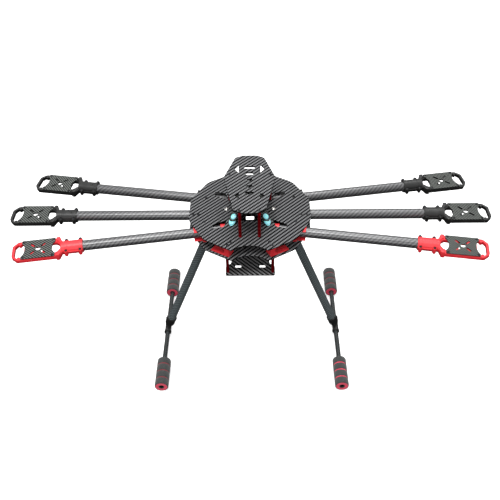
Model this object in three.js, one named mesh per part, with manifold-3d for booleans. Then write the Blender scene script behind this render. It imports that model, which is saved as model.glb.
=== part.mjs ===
// A six-armed multirotor airframe with arms that swing between the two centre plates.
// Millimetres, +Z up, +X to the right, +Y to the rear. The origin is on the ground, under the middle.
import * as THREE from "three";
import { mergeVertices } from "three/addons/utils/BufferGeometryUtils.js";
import Module from "manifold-3d";

const wasm = await Module();
wasm.setup();

// ---- driving dimensions ----
const WHEELBASE = 850; // motor centre to motor centre across the frame, arms in flight
const PIVOT_CIRCLE = 46; // radius on which the arms' pivots stand
const ARM_LENGTH = WHEELBASE / 2 - PIVOT_CIRCLE; // pivot to motor centre
const SIDE_SPLAY = 9; // front and rear arms' angle from straight sideways, arms stowed
const FLIGHT_ANGLE = 60; // the same arms' angle in flight
const CLEARANCE = 0.3; // between pieces that are fitted together

const FOAM_RADIUS = 14.8;
const SKID_Z = FOAM_RADIUS; // the skids' axis, above the ground
const TOP_FACE = 365; // top of the upper centre plate
const PLATE = 2; // thickness of the centre plates and tray
const DECK_PLATE = 3.5;
const PLATE_GAP = 24;
const TOP_PLATE_Z = TOP_FACE - PLATE;
const LOWER_PLATE_TOP = TOP_PLATE_Z - PLATE_GAP;
const LOWER_PLATE_Z = LOWER_PLATE_TOP - PLATE;
const ARM_Z = TOP_PLATE_Z - PLATE_GAP / 2;

const PLATE_FLAT = 118.8; // middle of the plate to each of its twelve straight edges
const PLATE_SIDES = 12;
const PLATE_CORNER_CUT = 10;
const ARC_RADIUS = 51.2; // the scoop out of the plates' front and rear edges
const ARC_DEPTH = 14.8;

const POST_LENGTH = 60;
const POST_RADIUS = 3;
const DECK_Z = TOP_FACE + POST_LENGTH;
const TRAY_Z = LOWER_PLATE_Z - POST_LENGTH - PLATE;
const DECK_POSTS = [[18, -79.5], [40, 30]]; // mirrored left to right
const TRAY_POSTS = [[44, -86], [44, 86]];
const VENT_WIDTHS = [22, 15, 10, 12, 16]; // the deck's vents along its middle, rear to front
const VENT_REAR = 52;
const VENT_PITCH = 20;
const VENT_HALF = 4;
const STUD_RADIUS = 1.5;
const STUD_HOLE = 1.9;

const BALL_BASE = [35.3, 44.8]; // mirrored both ways
const BALL_LEAN = 0.275; // towards the centre both ways, for each millimetre of height
const BALL_RADIUS = 6.3;
const BALL_CAP_RADIUS = 5.2;
const BALL_TOP = 21; // above the upper centre plate
const NECK_RADIUS = 2.6;
const CONTROLLER_PLATE = 1.5;
const CONTROLLER_Z = TOP_FACE + 11;

const TUBE_RADIUS = 10;
const TUBE_BORE = 9;
const TUBE_START = 15.5; // from the pivot
const TUBE_END = ARM_LENGTH - 48;
const TUBE_SIDES = 12;
const BARREL_SIDES = 12; // of the sleeves, collars and bosses round the tubes
const BORE_RADIUS = TUBE_RADIUS + CLEARANCE;
const BOLT_RADIUS = 2.5;
const BOLT_HOLE = 2.8;
const BOLT_HEAD = 4.4;
const BOLT_HEAD_HEIGHT = 2.6;
const NUT_HEIGHT = 4;
const BOSS_RADIUS = 11;
const SLEEVE_RADIUS = 11.6;
const SLEEVE_END = 34;
const INNER_HALF = PLATE_GAP / 2 - CLEARANCE; // half height of what stands between the plates

const CLIP_SLOT = TUBE_RADIUS + 0.5;
const FLIGHT_CLIP = { start: 50, end: 68, halfWidth: 20 }; // start and end from the pivot
const STOWED_CLIP = { start: 60, end: 86, halfWidth: 16 };
const STOWED_NECK = { start: 70, halfWidth: 12 }; // a stowed clip is narrower from here on

const MOUNT_HALF_HEIGHT = 4;
const MOUNT_HALF_WIDTH = 25;
const COLLAR_START = -83; // along the arm, from the motor centre
const COLLAR_END = -43;
const COLLAR_RADIUS = 13;
const EARS_AT = [-78, -52];
const EAR_SIDE = 15;
const EAR_RADIUS = 3.6;
const EAR_HALF_HEIGHT = 5.5;
const EAR_WEB = [3.1, 4.5]; // half thickness and half height of the web that carries an ear
const INNER_WINDOW = [[-24, -14], [-34, -14], [-40.5, -6]]; // one side of the opening next to the collar
const OUTER_WINDOW = [[26, -20.5], [37, -20.5], [43, -12.5]]; // and of the one at the outer end
const MIDDLE_WINDOW = [[-8, 8], [-11, 11]]; // the opening under the motor plate, along and across
const GUSSET = [[-33.5, -25], [-33.5, -15.5], [-36, -15.5], [-41, -8], [-46, -8], [-40, -25]];
const GUSSET_HALF_HEIGHT = 7;
const MOTOR_PLATE = 1.5;
const MOTOR_PLATE_SPAN = [-31.5, 30.5];
const MOTOR_SLOT = [8, 19]; // where each motor screw slot starts and ends, from the motor centre
const MOTOR_SLOT_HALF = 1.7;
const MOTOR_HOLE = 4.5;
const MOTOR_SCOOPS = [[31, 6], [24, 6]]; // radius and depth of the scoops out of its outer and inner edges

const SCREW_RADIUS = 2.75;
const SCREW_HEIGHT = 1.8;

const LEG_TOP_X = 71.5; // where a leg's axis meets the underside of the lower plate
const SKID_X = 193.5;
const LEG_DROP = LOWER_PLATE_Z - SKID_Z;
const LEG_SPAN = Math.hypot(SKID_X - LEG_TOP_X, LEG_DROP);
const LEG_RADIUS = 9;
const LEG_BORE = 7.8;
const SOCKET_RADIUS = 12.5;
const SOCKET_LENGTH = 42;
const FLANGE_X = 76; // middle of the socket's flange
const SKID_RADIUS = 5;
const SKID_BORE = 4;
const SKID_HALF = 171.5;
const FOAM_SPAN = [102, 172.5];
const TEE_HALF = 22;
const TEE_RADIUS = 6.9;
const TEE_RING = [17, 8]; // where each end ring starts along the skid, and its radius
const TEE_CUP = 11.5; // radius of the cup that holds the foot of the leg
const TEE_CUP_SPAN = [30, 10]; // how far above the skid's axis the cup starts and ends
const PAST = 1; // how far a cutting tool runs past the face it cuts

const MATERIALS = {
  carbon: new THREE.MeshStandardMaterial({ color: 0x222425, roughness: 0.45, metalness: 0 }),
  tube: new THREE.MeshStandardMaterial({ color: 0x2a2b2d, roughness: 0.35, metalness: 0 }),
  black: new THREE.MeshStandardMaterial({ color: 0x17181a, roughness: 0.5, metalness: 0 }),
  red: new THREE.MeshStandardMaterial({ color: 0xe0202c, roughness: 0.45, metalness: 0 }),
  anodised: new THREE.MeshStandardMaterial({ color: 0x8c0810, roughness: 0.35, metalness: 0.8 }),
  rubber: new THREE.MeshStandardMaterial({ color: 0x9debf7, roughness: 0.5, metalness: 0 }),
  foam: new THREE.MeshStandardMaterial({ color: 0x45494b, roughness: 0.95, metalness: 0 }),
};

// Front arms are red, so that the pilot sees which way the nose points. "swing" is the turn, seen
// from above, that takes an arm out of its stowed clip: 1 anticlockwise, -1 clockwise.
const ARMS = [
  { name: "front_left", pivot: 180 + FLIGHT_ANGLE, rest: 180 + SIDE_SPLAY, swing: 1, plastic: "red" },
  { name: "middle_left", pivot: 180, rest: 180, swing: -1, plastic: "black" },
  { name: "rear_left", pivot: 180 - FLIGHT_ANGLE, rest: 180 - SIDE_SPLAY, swing: -1, plastic: "black" },
  { name: "front_right", pivot: -FLIGHT_ANGLE, rest: -SIDE_SPLAY, swing: -1, plastic: "red" },
  { name: "middle_right", pivot: 0, rest: 0, swing: 1, plastic: "black" },
  { name: "rear_right", pivot: FLIGHT_ANGLE, rest: SIDE_SPLAY, swing: 1, plastic: "black" },
];

const model = new THREE.Group();
const radians = THREE.MathUtils.degToRad;

// ---- solids ----
function solidOf(geometry) {
  const bare = geometry.clone();
  bare.deleteAttribute("normal");
  bare.deleteAttribute("uv");
  const merged = mergeVertices(bare, 1e-4);
  const vertProperties = new Float32Array(merged.attributes.position.array);
  const triVerts = new Uint32Array(merged.index.array);
  return new wasm.Manifold(new wasm.Mesh({ numProp: 3, vertProperties, triVerts }));
}

function addMesh(parent, name, solid, material) {
  const { vertProperties, triVerts } = solid.getMesh();
  const geometry = new THREE.BufferGeometry();
  geometry.setAttribute("position", new THREE.BufferAttribute(vertProperties, 3));
  geometry.setIndex(new THREE.BufferAttribute(triVerts, 1));
  geometry.computeVertexNormals();
  const mesh = new THREE.Mesh(geometry, MATERIALS[material]);
  mesh.name = name;
  parent.add(mesh);
}

const joined = (solids) => solids.reduce((whole, solid) => whole.add(solid));

function cone(startRadius, endRadius, start, end, sides) {
  const from = new THREE.Vector3(...start);
  const to = new THREE.Vector3(...end);
  const geometry = new THREE.CylinderGeometry(endRadius, startRadius, from.distanceTo(to), sides);
  const direction = to.clone().sub(from).normalize();
  const turn = new THREE.Quaternion().setFromUnitVectors(new THREE.Vector3(0, 1, 0), direction);
  geometry.applyQuaternion(turn);
  const middle = from.add(to).multiplyScalar(0.5);
  return solidOf(geometry.translate(middle.x, middle.y, middle.z));
}

const rod = (radius, start, end, sides) => cone(radius, radius, start, end, sides);

function block([x0, x1], [y0, y1], [z0, z1]) {
  const geometry = new THREE.BoxGeometry(x1 - x0, y1 - y0, z1 - z0);
  return solidOf(geometry.translate((x0 + x1) / 2, (y0 + y1) / 2, (z0 + z1) / 2));
}

function prism(shape, bottom, top, curveSegments = 2) {
  const settings = { depth: top - bottom, bevelEnabled: false, curveSegments };
  return solidOf(new THREE.ExtrudeGeometry(shape, settings).translate(0, 0, bottom));
}

function tube(radius, bore, start, end, sides) {
  const from = new THREE.Vector3(...start);
  const beyond = new THREE.Vector3(...end).sub(from).normalize();
  const cutFrom = from.clone().sub(beyond).toArray();
  const cutTo = new THREE.Vector3(...end).add(beyond).toArray();
  return rod(radius, start, end, sides).subtract(rod(bore, cutFrom, cutTo, sides));
}

// ---- outlines ----
// A closed outline through the corners, each one rounded off over the length "cut".
function rounded(corners, cut, Kind = THREE.Shape) {
  const outline = new Kind();
  corners.forEach((corner, i) => {
    const here = new THREE.Vector2(...corner);
    const before = new THREE.Vector2(...corners.at(i - 1));
    const after = new THREE.Vector2(...corners[(i + 1) % corners.length]);
    const from = here.clone().add(before.sub(here).setLength(cut));
    const to = here.clone().add(after.sub(here).setLength(cut));
    if (i === 0) outline.moveTo(from.x, from.y);
    else outline.lineTo(from.x, from.y);
    outline.quadraticCurveTo(here.x, here.y, to.x, to.y);
  });
  outline.closePath();
  return outline;
}

const hole = (corners, cut) => rounded(corners, cut, THREE.Path);

function rectangle([x0, x1], [y0, y1], cut) {
  return hole([[x0, y0], [x1, y0], [x1, y1], [x0, y1]], cut);
}

// Corners for the right half, front to back, closed with their mirror image.
const mirrored = (corners) => [...corners, ...corners.map(([x, y]) => [-x, y]).reverse()];

const bothSides = (places) => places.flatMap(([x, y]) => [[x, y], [-x, y]]);
const allFour = (places) => bothSides(places.flatMap(([x, y]) => [[x, y], [x, -y]]));

// ---- centre plates ----
function centrePlate(holes, bottom) {
  const cornerRadius = PLATE_FLAT / Math.cos(Math.PI / PLATE_SIDES);
  const corners = Array.from({ length: PLATE_SIDES }, (_, i) => {
    const angle = ((i + 0.5) * 2 * Math.PI) / PLATE_SIDES;
    return [cornerRadius * Math.cos(angle), cornerRadius * Math.sin(angle)];
  });
  const outline = rounded(corners, PLATE_CORNER_CUT);
  outline.holes.push(...holes);
  const plate = prism(outline, bottom, bottom + PLATE);
  const scoops = [1, -1].map((side) => {
    const y = side * (PLATE_FLAT - ARC_DEPTH + ARC_RADIUS);
    return rod(ARC_RADIUS, [0, y, bottom - PAST], [0, y, bottom + PLATE + PAST], 40);
  });
  const bolts = ARMS.map((arm) => {
    const { x, y } = pivotOf(arm);
    return rod(BOLT_HOLE, [x, y, bottom - PAST], [x, y, bottom + PLATE + PAST], 8);
  });
  return plate.subtract(joined([...scoops, ...bolts]));
}

function pivotOf(arm) {
  const angle = radians(arm.pivot);
  return new THREE.Vector2(Math.cos(angle), Math.sin(angle)).multiplyScalar(PIVOT_CIRCLE);
}

function addCentrePlates() {
  const wireSlot = [[44, 31], [72, 45], [70, 56], [50, 51]];
  const wireSlots = [1, -1].flatMap((x) =>
    [1, -1].map((y) => hole(wireSlot.map((p) => [x * p[0], y * p[1]]), 3)),
  );
  const frontWindow = rectangle([-17.5, 17.5], [-34, -18], 4);
  addMesh(model, "top_plate", centrePlate([...wireSlots, frontWindow], TOP_PLATE_Z), "carbon");
  const cableHole = rectangle([-8, 8], [-1, 11], 2);
  const strapSlots = [1, -1].flatMap((x) =>
    [1, -1].map((y) => rectangle([x * 30 - 9, x * 30 + 9], [y * 74 - 2, y * 74 + 2], 1.5)),
  );
  addMesh(model, "lower_plate", centrePlate([cableHole, ...strapSlots], LOWER_PLATE_Z), "carbon");
}

// ---- raised deck, battery tray and controller plate ----
function addDeck() {
  const outline = rounded(mirrored([[11, -86], [30, -77], [50, 22], [29, 85], [13, 92]]), 4);
  for (const side of [1, -1]) {
    outline.holes.push(hole([[21, 35], [30, 48], [21.5, 62]].map(([x, y]) => [side * x, y]), 1.5));
    outline.holes.push(hole([[20, -46], [28, -34], [20, -28]].map(([x, y]) => [side * x, y]), 2));
  }
  VENT_WIDTHS.forEach((width, i) => {
    const y = VENT_REAR - i * VENT_PITCH;
    outline.holes.push(rectangle([-width / 2, width / 2], [y - VENT_HALF, y + VENT_HALF], 3.5));
  });
  const studHoles = bothSides(DECK_POSTS).map(([x, y]) =>
    rod(STUD_HOLE, [x, y, DECK_Z - PAST], [x, y, DECK_Z + DECK_PLATE + PAST], 6),
  );
  const deck = prism(outline, DECK_Z, DECK_Z + DECK_PLATE).subtract(joined(studHoles));
  addMesh(model, "upper_deck", deck, "carbon");
}

// Each post stands on the upper centre plate, and its screw comes up through the deck.
function addDeckStandoffs() {
  const words = ["front", "rear"];
  DECK_POSTS.forEach(([x, y], i) => {
    for (const [side, name] of [[-1, "left"], [1, "right"]]) {
      const at = (z) => [side * x, y, z];
      const post = rod(POST_RADIUS, at(TOP_FACE), at(DECK_Z), 8);
      const deckTop = DECK_Z + DECK_PLATE;
      const stud = rod(STUD_RADIUS, at(DECK_Z - PAST), at(deckTop + PAST), 6);
      const head = rod(SCREW_RADIUS, at(deckTop), at(deckTop + SCREW_HEIGHT), 8);
      addMesh(model, `${words[i]}_${name}_deck_standoff`, joined([post, stud, head]), "anodised");
    }
  });
}

function addTray() {
  const half = [[48.5, -95], [48.5, -69], [38, -62], [38, 62], [48.5, 69], [48.5, 95]];
  const outline = rounded(mirrored(half), 4);
  for (const [x, y] of allFour([[24, 70]])) {
    outline.holes.push(rectangle([x - 6, x + 6], [y - 3.5, y + 3.5], 2));
  }
  outline.holes.push(rectangle([-12, 12], [62, 84], 3));
  outline.holes.push(rectangle([-14, 14], [-30, 20], 6));
  const posts = bothSides(TRAY_POSTS).map(([x, y]) => {
    return rod(POST_RADIUS, [x, y, TRAY_Z - SCREW_HEIGHT], [x, y, LOWER_PLATE_Z], 8);
  });
  const tray = prism(outline, TRAY_Z, TRAY_Z + PLATE);
  addMesh(model, "battery_tray", joined([tray, ...posts]), "carbon");
}

function addController() {
  const lean = ([x, y], height) => [x - BALL_LEAN * height, y - BALL_LEAN * height];
  const neck = lean(BALL_BASE, CONTROLLER_Z + CONTROLLER_PLATE / 2 - TOP_FACE);
  const front = [[24, -30], [26, -48], [38, -48], [38, -34], [33, -22]];
  const rear = front.map(([x, y]) => [x, -y]).reverse();
  const outline = rounded(mirrored([...front, ...rear]), 3);
  const neckHoles = allFour([neck]).map(([x, y]) =>
    rod(NECK_RADIUS + 2 * CLEARANCE, [x, y, CONTROLLER_Z - PAST], [x, y, CONTROLLER_Z + 2 * PAST], 10),
  );
  const plate = prism(outline, CONTROLLER_Z, CONTROLLER_Z + CONTROLLER_PLATE);
  addMesh(model, "controller_plate", plate.subtract(joined(neckHoles)), "carbon");

  const low = CONTROLLER_Z - TOP_FACE - CLEARANCE;
  const high = low + CONTROLLER_PLATE + 2 * CLEARANCE;
  const profile = [
    [0, 0], [4.4, 0], [BALL_RADIUS, 3.6], [BALL_RADIUS, 7], [4.4, low], [NECK_RADIUS, low],
    [NECK_RADIUS, high], [4, high], [BALL_CAP_RADIUS, high + 3], [3.2, BALL_TOP], [0, BALL_TOP],
  ].map(([radius, height]) => new THREE.Vector2(radius, height));
  for (const [back, word] of [[-1, "front"], [1, "rear"]]) {
    for (const [side, name] of [[-1, "left"], [1, "right"]]) {
      const shear = new THREE.Matrix4();
      shear.elements[8] = -side * BALL_LEAN;
      shear.elements[9] = -back * BALL_LEAN;
      const ball = new THREE.LatheGeometry(profile, 8).rotateX(Math.PI / 2).applyMatrix4(shear);
      const placed = ball.translate(side * BALL_BASE[0], back * BALL_BASE[1], TOP_FACE);
      addMesh(model, `${word}_${name}_damping_ball`, solidOf(placed), "rubber");
    }
  }
}

// ---- arm clips: C-shaped saddles between the plates that the tube swings into ----
function clipPlaces(arm) {
  const flight = { word: "flight_clip", angle: arm.pivot, size: FLIGHT_CLIP, wallSide: arm.swing };
  if (arm.pivot === arm.rest) return [{ ...flight, wallSide: -arm.swing }];
  const stowed = { word: "stowed_clip", angle: arm.rest, size: STOWED_CLIP, neck: STOWED_NECK };
  return [flight, { ...stowed, wallSide: -arm.swing }];
}

function clip({ start, end, halfWidth: wide }, wallSide, neck) {
  const saddle = Array.from({ length: 7 }, (_, i) => {
    const angle = -Math.PI / 2 + (i * Math.PI) / 6;
    return [CLIP_SLOT * Math.cos(angle), CLIP_SLOT * Math.sin(angle)];
  });
  const corners = [
    [-wide, INNER_HALF], [wide, INNER_HALF], [wide, -INNER_HALF],
    [-wide, -INNER_HALF], [-wide, -CLIP_SLOT], ...saddle, [-wide, CLIP_SLOT],
  ];
  const section = new THREE.Shape(corners.map(([y, z]) => new THREE.Vector2(wallSide * y, z)));
  const geometry = new THREE.ExtrudeGeometry(section, { depth: end - start, bevelEnabled: false });
  const alongArm = new THREE.Matrix4().set(0, 0, 1, start, 1, 0, 0, 0, 0, 1, 0, 0, 0, 0, 0, 1);
  const whole = solidOf(geometry.applyMatrix4(alongArm));
  if (!neck) return whole;
  const past = wide + PAST;
  const shoulders = [[neck.halfWidth, past], [-past, -neck.halfWidth]].map((across) =>
    block([neck.start, end + PAST], across, [-PLATE_GAP, PLATE_GAP]),
  );
  return whole.subtract(joined(shoulders));
}

function addClips(arm) {
  const pivot = pivotOf(arm);
  for (const { word, angle, size, wallSide, neck } of clipPlaces(arm)) {
    const group = new THREE.Group();
    group.position.set(pivot.x, pivot.y, ARM_Z);
    group.rotation.z = radians(angle);
    addMesh(group, `${arm.name}_${word}`, clip(size, wallSide, neck), arm.plastic);
    model.add(group);
  }
}

// ---- arms: pivot at the group's origin, tube along its X axis ----
// The pivot bolt is tightened in the sleeve and turns with it in the two centre plates.
function pivotSleeve() {
  const boss = rod(BOSS_RADIUS, [0, 0, -INNER_HALF], [0, 0, INNER_HALF], BARREL_SIDES);
  const barrel = rod(SLEEVE_RADIUS, [0, 0, 0], [SLEEVE_END, 0, 0], BARREL_SIDES);
  const bore = rod(BORE_RADIUS, [TUBE_START - CLEARANCE, 0, 0], [SLEEVE_END + PAST, 0, 0], TUBE_SIDES);
  const face = PLATE_GAP / 2 + PLATE + CLEARANCE;
  const shank = rod(BOLT_RADIUS, [0, 0, -face - PAST], [0, 0, face + PAST], 8);
  const head = rod(BOLT_HEAD, [0, 0, face], [0, 0, face + BOLT_HEAD_HEIGHT], 8);
  const nut = rod(BOLT_HEAD, [0, 0, -face - NUT_HEIGHT], [0, 0, -face], 6);
  return joined([boss.add(barrel).subtract(bore), shank, head, nut]);
}

// The motor mount is a flat loop with a tube collar; "along" and "across" start at the motor centre.
function motorMount() {
  const wide = MOUNT_HALF_WIDTH;
  const loopSide = [[-47, -9], [-40, -wide], [38, -wide], [48, -14]];
  const otherSide = (corners) => corners.map(([along, across]) => [along, -across]).reverse();
  const outline = rounded([...loopSide, ...otherSide(loopSide)], 3);
  outline.holes.push(hole([...OUTER_WINDOW, ...otherSide(OUTER_WINDOW)], 2));
  outline.holes.push(rectangle(...MIDDLE_WINDOW, 3));
  outline.holes.push(hole([...INNER_WINDOW, ...otherSide(INNER_WINDOW)], 3));
  const loop = prism(outline, -MOUNT_HALF_HEIGHT, MOUNT_HALF_HEIGHT, 1);
  const gussets = [GUSSET, otherSide(GUSSET)].map((corners) =>
    prism(rounded(corners, 1), -GUSSET_HALF_HEIGHT, GUSSET_HALF_HEIGHT, 1),
  );
  const collar = rod(COLLAR_RADIUS, [COLLAR_START, 0, 0], [COLLAR_END, 0, 0], BARREL_SIDES);
  const ears = EARS_AT.flatMap((along) => [
    block([along - EAR_WEB[0], along + EAR_WEB[0]], [-EAR_SIDE, EAR_SIDE], [-EAR_WEB[1], EAR_WEB[1]]),
    ...[1, -1].map((side) => {
      const across = side * EAR_SIDE;
      return rod(EAR_RADIUS, [along, across, -EAR_HALF_HEIGHT], [along, across, EAR_HALF_HEIGHT], 6);
    }),
  ]);
  const boreEnd = TUBE_END - ARM_LENGTH + CLEARANCE;
  const bore = rod(BORE_RADIUS, [COLLAR_START - PAST, 0, 0], [boreEnd, 0, 0], TUBE_SIDES);
  const whole = joined([loop, ...gussets, collar, ...ears]);
  return whole.subtract(bore).translate([ARM_LENGTH, 0, 0]);
}

function motorPlate() {
  const [inner, outer] = MOTOR_PLATE_SPAN;
  const width = MOUNT_HALF_WIDTH;
  const outline = rounded([[inner, -width], [outer, -width], [outer, width], [inner, width]], 2);
  for (const angle of [45, 135, 225, 315]) {
    const [near, far] = MOTOR_SLOT;
    const half = MOTOR_SLOT_HALF;
    const corners = [[near, -half], [far, -half], [far, half], [near, half]].map(([x, y]) => {
      const turned = new THREE.Vector2(x, y).rotateAround(new THREE.Vector2(), radians(angle));
      return [turned.x, turned.y];
    });
    outline.holes.push(hole(corners, 1.2));
  }
  const bottom = MOUNT_HALF_HEIGHT + CLEARANCE;
  const top = bottom + MOTOR_PLATE;
  const cut = (radius, along, sides) => rod(radius, [along, 0, bottom - PAST], [along, 0, top + PAST], sides);
  const [[outerRadius, outerDepth], [innerRadius, innerDepth]] = MOTOR_SCOOPS;
  const cuts = joined([
    cut(outerRadius, outer + outerRadius - outerDepth, 32),
    cut(innerRadius, inner - innerRadius + innerDepth, 32),
    cut(MOTOR_HOLE, 0, 8),
  ]);
  return prism(outline, bottom, top, 1).subtract(cuts).translate([ARM_LENGTH, 0, 0]);
}

function addArm(arm) {
  const group = new THREE.Group();
  const { x, y } = pivotOf(arm);
  group.position.set(x, y, ARM_Z);
  group.rotation.z = radians(arm.rest);
  const armTube = tube(TUBE_RADIUS, TUBE_BORE, [TUBE_START, 0, 0], [TUBE_END, 0, 0], TUBE_SIDES);
  addMesh(group, `${arm.name}_arm_tube`, armTube, "tube");
  addMesh(group, `${arm.name}_pivot_sleeve`, pivotSleeve(), arm.plastic);
  addMesh(group, `${arm.name}_motor_mount`, motorMount(), arm.plastic);
  addMesh(group, `${arm.name}_motor_plate`, motorPlate(), "carbon");
  model.add(group);
}

// ---- landing gear ----
function addLandingGear(side, name) {
  const down = [(side * (SKID_X - LEG_TOP_X)) / LEG_SPAN, 0, -LEG_DROP / LEG_SPAN];
  const onLeg = (s) => [side * LEG_TOP_X + down[0] * s, 0, LOWER_PLATE_Z + down[2] * s];
  const legStart = 6;
  const legEnd = LEG_SPAN - 12;

  const flangeX = side * FLANGE_X;
  const flange = block([flangeX - 21, flangeX + 21], [-17, 17], [LOWER_PLATE_Z - 4, LOWER_PLATE_Z]);
  const barrel = rod(SOCKET_RADIUS, onLeg(-8), onLeg(SOCKET_LENGTH), 16);
  const above = block([flangeX - 60, flangeX + 60], [-40, 40], [LOWER_PLATE_Z, LOWER_PLATE_Z + 40]);
  const legBore = rod(LEG_RADIUS + CLEARANCE, onLeg(legStart - CLEARANCE), onLeg(SOCKET_LENGTH + PAST), 16);
  const socket = flange.add(barrel).subtract(above).subtract(legBore);
  addMesh(model, `${name}_leg_socket`, socket, "black");
  addMesh(model, `${name}_leg_tube`, tube(LEG_RADIUS, LEG_BORE, onLeg(legStart), onLeg(legEnd), 16), "tube");

  const skidLine = (y) => [side * SKID_X, y, SKID_Z];
  const [ringAt, ringRadius] = TEE_RING;
  const clampRings = [1, -1].map((end) =>
    rod(ringRadius, skidLine(end * ringAt), skidLine(end * TEE_HALF), 12),
  );
  const [cupTop, cupBottom] = TEE_CUP_SPAN.map((above) => LEG_SPAN - above);
  const tee = joined([
    rod(TEE_RADIUS, skidLine(-TEE_HALF), skidLine(TEE_HALF), 12),
    ...clampRings,
    rod(TEE_CUP, onLeg(cupTop), onLeg(cupBottom), 16),
    cone(TEE_CUP, 7, onLeg(cupBottom), onLeg(LEG_SPAN), 16),
  ]);
  const skidBore = rod(SKID_RADIUS + CLEARANCE, skidLine(-TEE_HALF - PAST), skidLine(TEE_HALF + PAST), 12);
  const endBore = rod(LEG_RADIUS + CLEARANCE, onLeg(cupTop - PAST), onLeg(legEnd + CLEARANCE), 16);
  addMesh(model, `${name}_skid_tee`, tee.subtract(skidBore).subtract(endBore), "black");

  const skid = tube(SKID_RADIUS, SKID_BORE, skidLine(-SKID_HALF), skidLine(SKID_HALF), 12);
  addMesh(model, `${name}_skid_tube`, skid, "tube");
  for (const [end, word] of [[-1, "front"], [1, "rear"]]) {
    const [near, far] = FOAM_SPAN.map((y) => skidLine(end * y));
    addMesh(model, `${word}_${name}_foam`, tube(FOAM_RADIUS, SKID_RADIUS + CLEARANCE, near, far, 16), "foam");
  }
}

addCentrePlates();
addDeck();
addDeckStandoffs();
addTray();
addController();
ARMS.forEach(addClips);
ARMS.forEach(addArm);
addLandingGear(-1, "left");
addLandingGear(1, "right");

export default model;
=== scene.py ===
"""A six-armed multirotor frame, dressed round its CAD. Sizes are in millimetres until a piece is placed."""
import math

import bmesh
import bpy
from mathutils import Matrix, Vector


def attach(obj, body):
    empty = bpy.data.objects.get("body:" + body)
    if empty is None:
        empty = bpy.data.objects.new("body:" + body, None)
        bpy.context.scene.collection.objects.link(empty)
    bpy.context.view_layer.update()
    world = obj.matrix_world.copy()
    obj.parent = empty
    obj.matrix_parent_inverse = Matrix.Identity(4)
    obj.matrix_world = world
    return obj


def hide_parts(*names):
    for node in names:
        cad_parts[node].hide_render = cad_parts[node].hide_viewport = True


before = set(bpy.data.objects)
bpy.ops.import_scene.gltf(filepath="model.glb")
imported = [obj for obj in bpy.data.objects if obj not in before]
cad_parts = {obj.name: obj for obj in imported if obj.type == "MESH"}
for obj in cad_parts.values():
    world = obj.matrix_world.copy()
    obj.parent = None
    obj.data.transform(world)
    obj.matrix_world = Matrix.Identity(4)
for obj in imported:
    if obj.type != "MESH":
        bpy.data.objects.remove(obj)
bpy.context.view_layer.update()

MM = 0.001
SMOOTH_ANGLE = math.radians(32)

# ---- the CAD's own dimensions ----
PIVOT_CIRCLE = 46
ARM_LENGTH = 379
ARM_Z = 351
TOP_FACE = 365
PLATE = 2
DECK_PLATE = 3.5
POST_RADIUS = 3
LOWER_Z = 337
DECK_Z = 425
TRAY_Z = 275
CONTROLLER_Z = 376
PLATE_FLAT = 118.8
ARC_RADIUS = 51.2
ARC_DEPTH = 14.8
INNER_HALF = 11.7
FACE = 14.3  # from the arms' level to the bolt heads' seats
TUBE_RADIUS = 10
TUBE_BORE = 9
TUBE_REACH = (15.5, 331)
COLLAR_RADIUS = 13
DECK_POSTS = [(18, -79.5), (40, 30)]
TRAY_POSTS = [(44, -86), (44, 86)]
LEG_TOP_X = 71.5
SKID_X = 193.5
SKID_Z = 14.8
FOAM_RADIUS = 14.8
LEG_RADIUS = 9
SKID_RADIUS = 5
EARS_AT = (-78, -52)
EAR_SIDE = 15
FLIGHT_CLIP = (50, 68, 20)  # start and end along the arm, and half width
STOWED_CLIP = (60, 86, 16)
MOUNT_HALF_HEIGHT = 4
MOUNT_SCREWS = [(-28, 21.5), (26.5, 21.5), (-28, -21.5), (26.5, -21.5)]
MOTOR_PLATE_SPAN = (-31.5, 30.5)
MOTOR_PLATE_BOTTOM = 4.3
MOTOR_PLATE = 1.5
SOCKET_SCREWS = [(59, 13), (59, -13), (93, 13), (93, -13)]
CLEARANCE = 0.3  # between a tube and the bore that holds it

# Each arm: angle of its pivot, angle at rest, and which way it swings out.
ARMS = {
    "front_left": (240, 189, 1),
    "middle_left": (180, 180, -1),
    "rear_left": (120, 171, -1),
    "front_right": (-60, -9, -1),
    "middle_right": (0, 0, 1),
    "rear_right": (60, 9, 1),
}

# ---- the camera: place in metres, angles in degrees ----
CAMERA_PLACE = (0.01346, -1.00944, 1.21577)
CAMERA_DOWN = 43.5977
CAMERA_TURN = 0.8259
CAMERA_ROLL = 0.9443
CAMERA_LENS = 48.23


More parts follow.
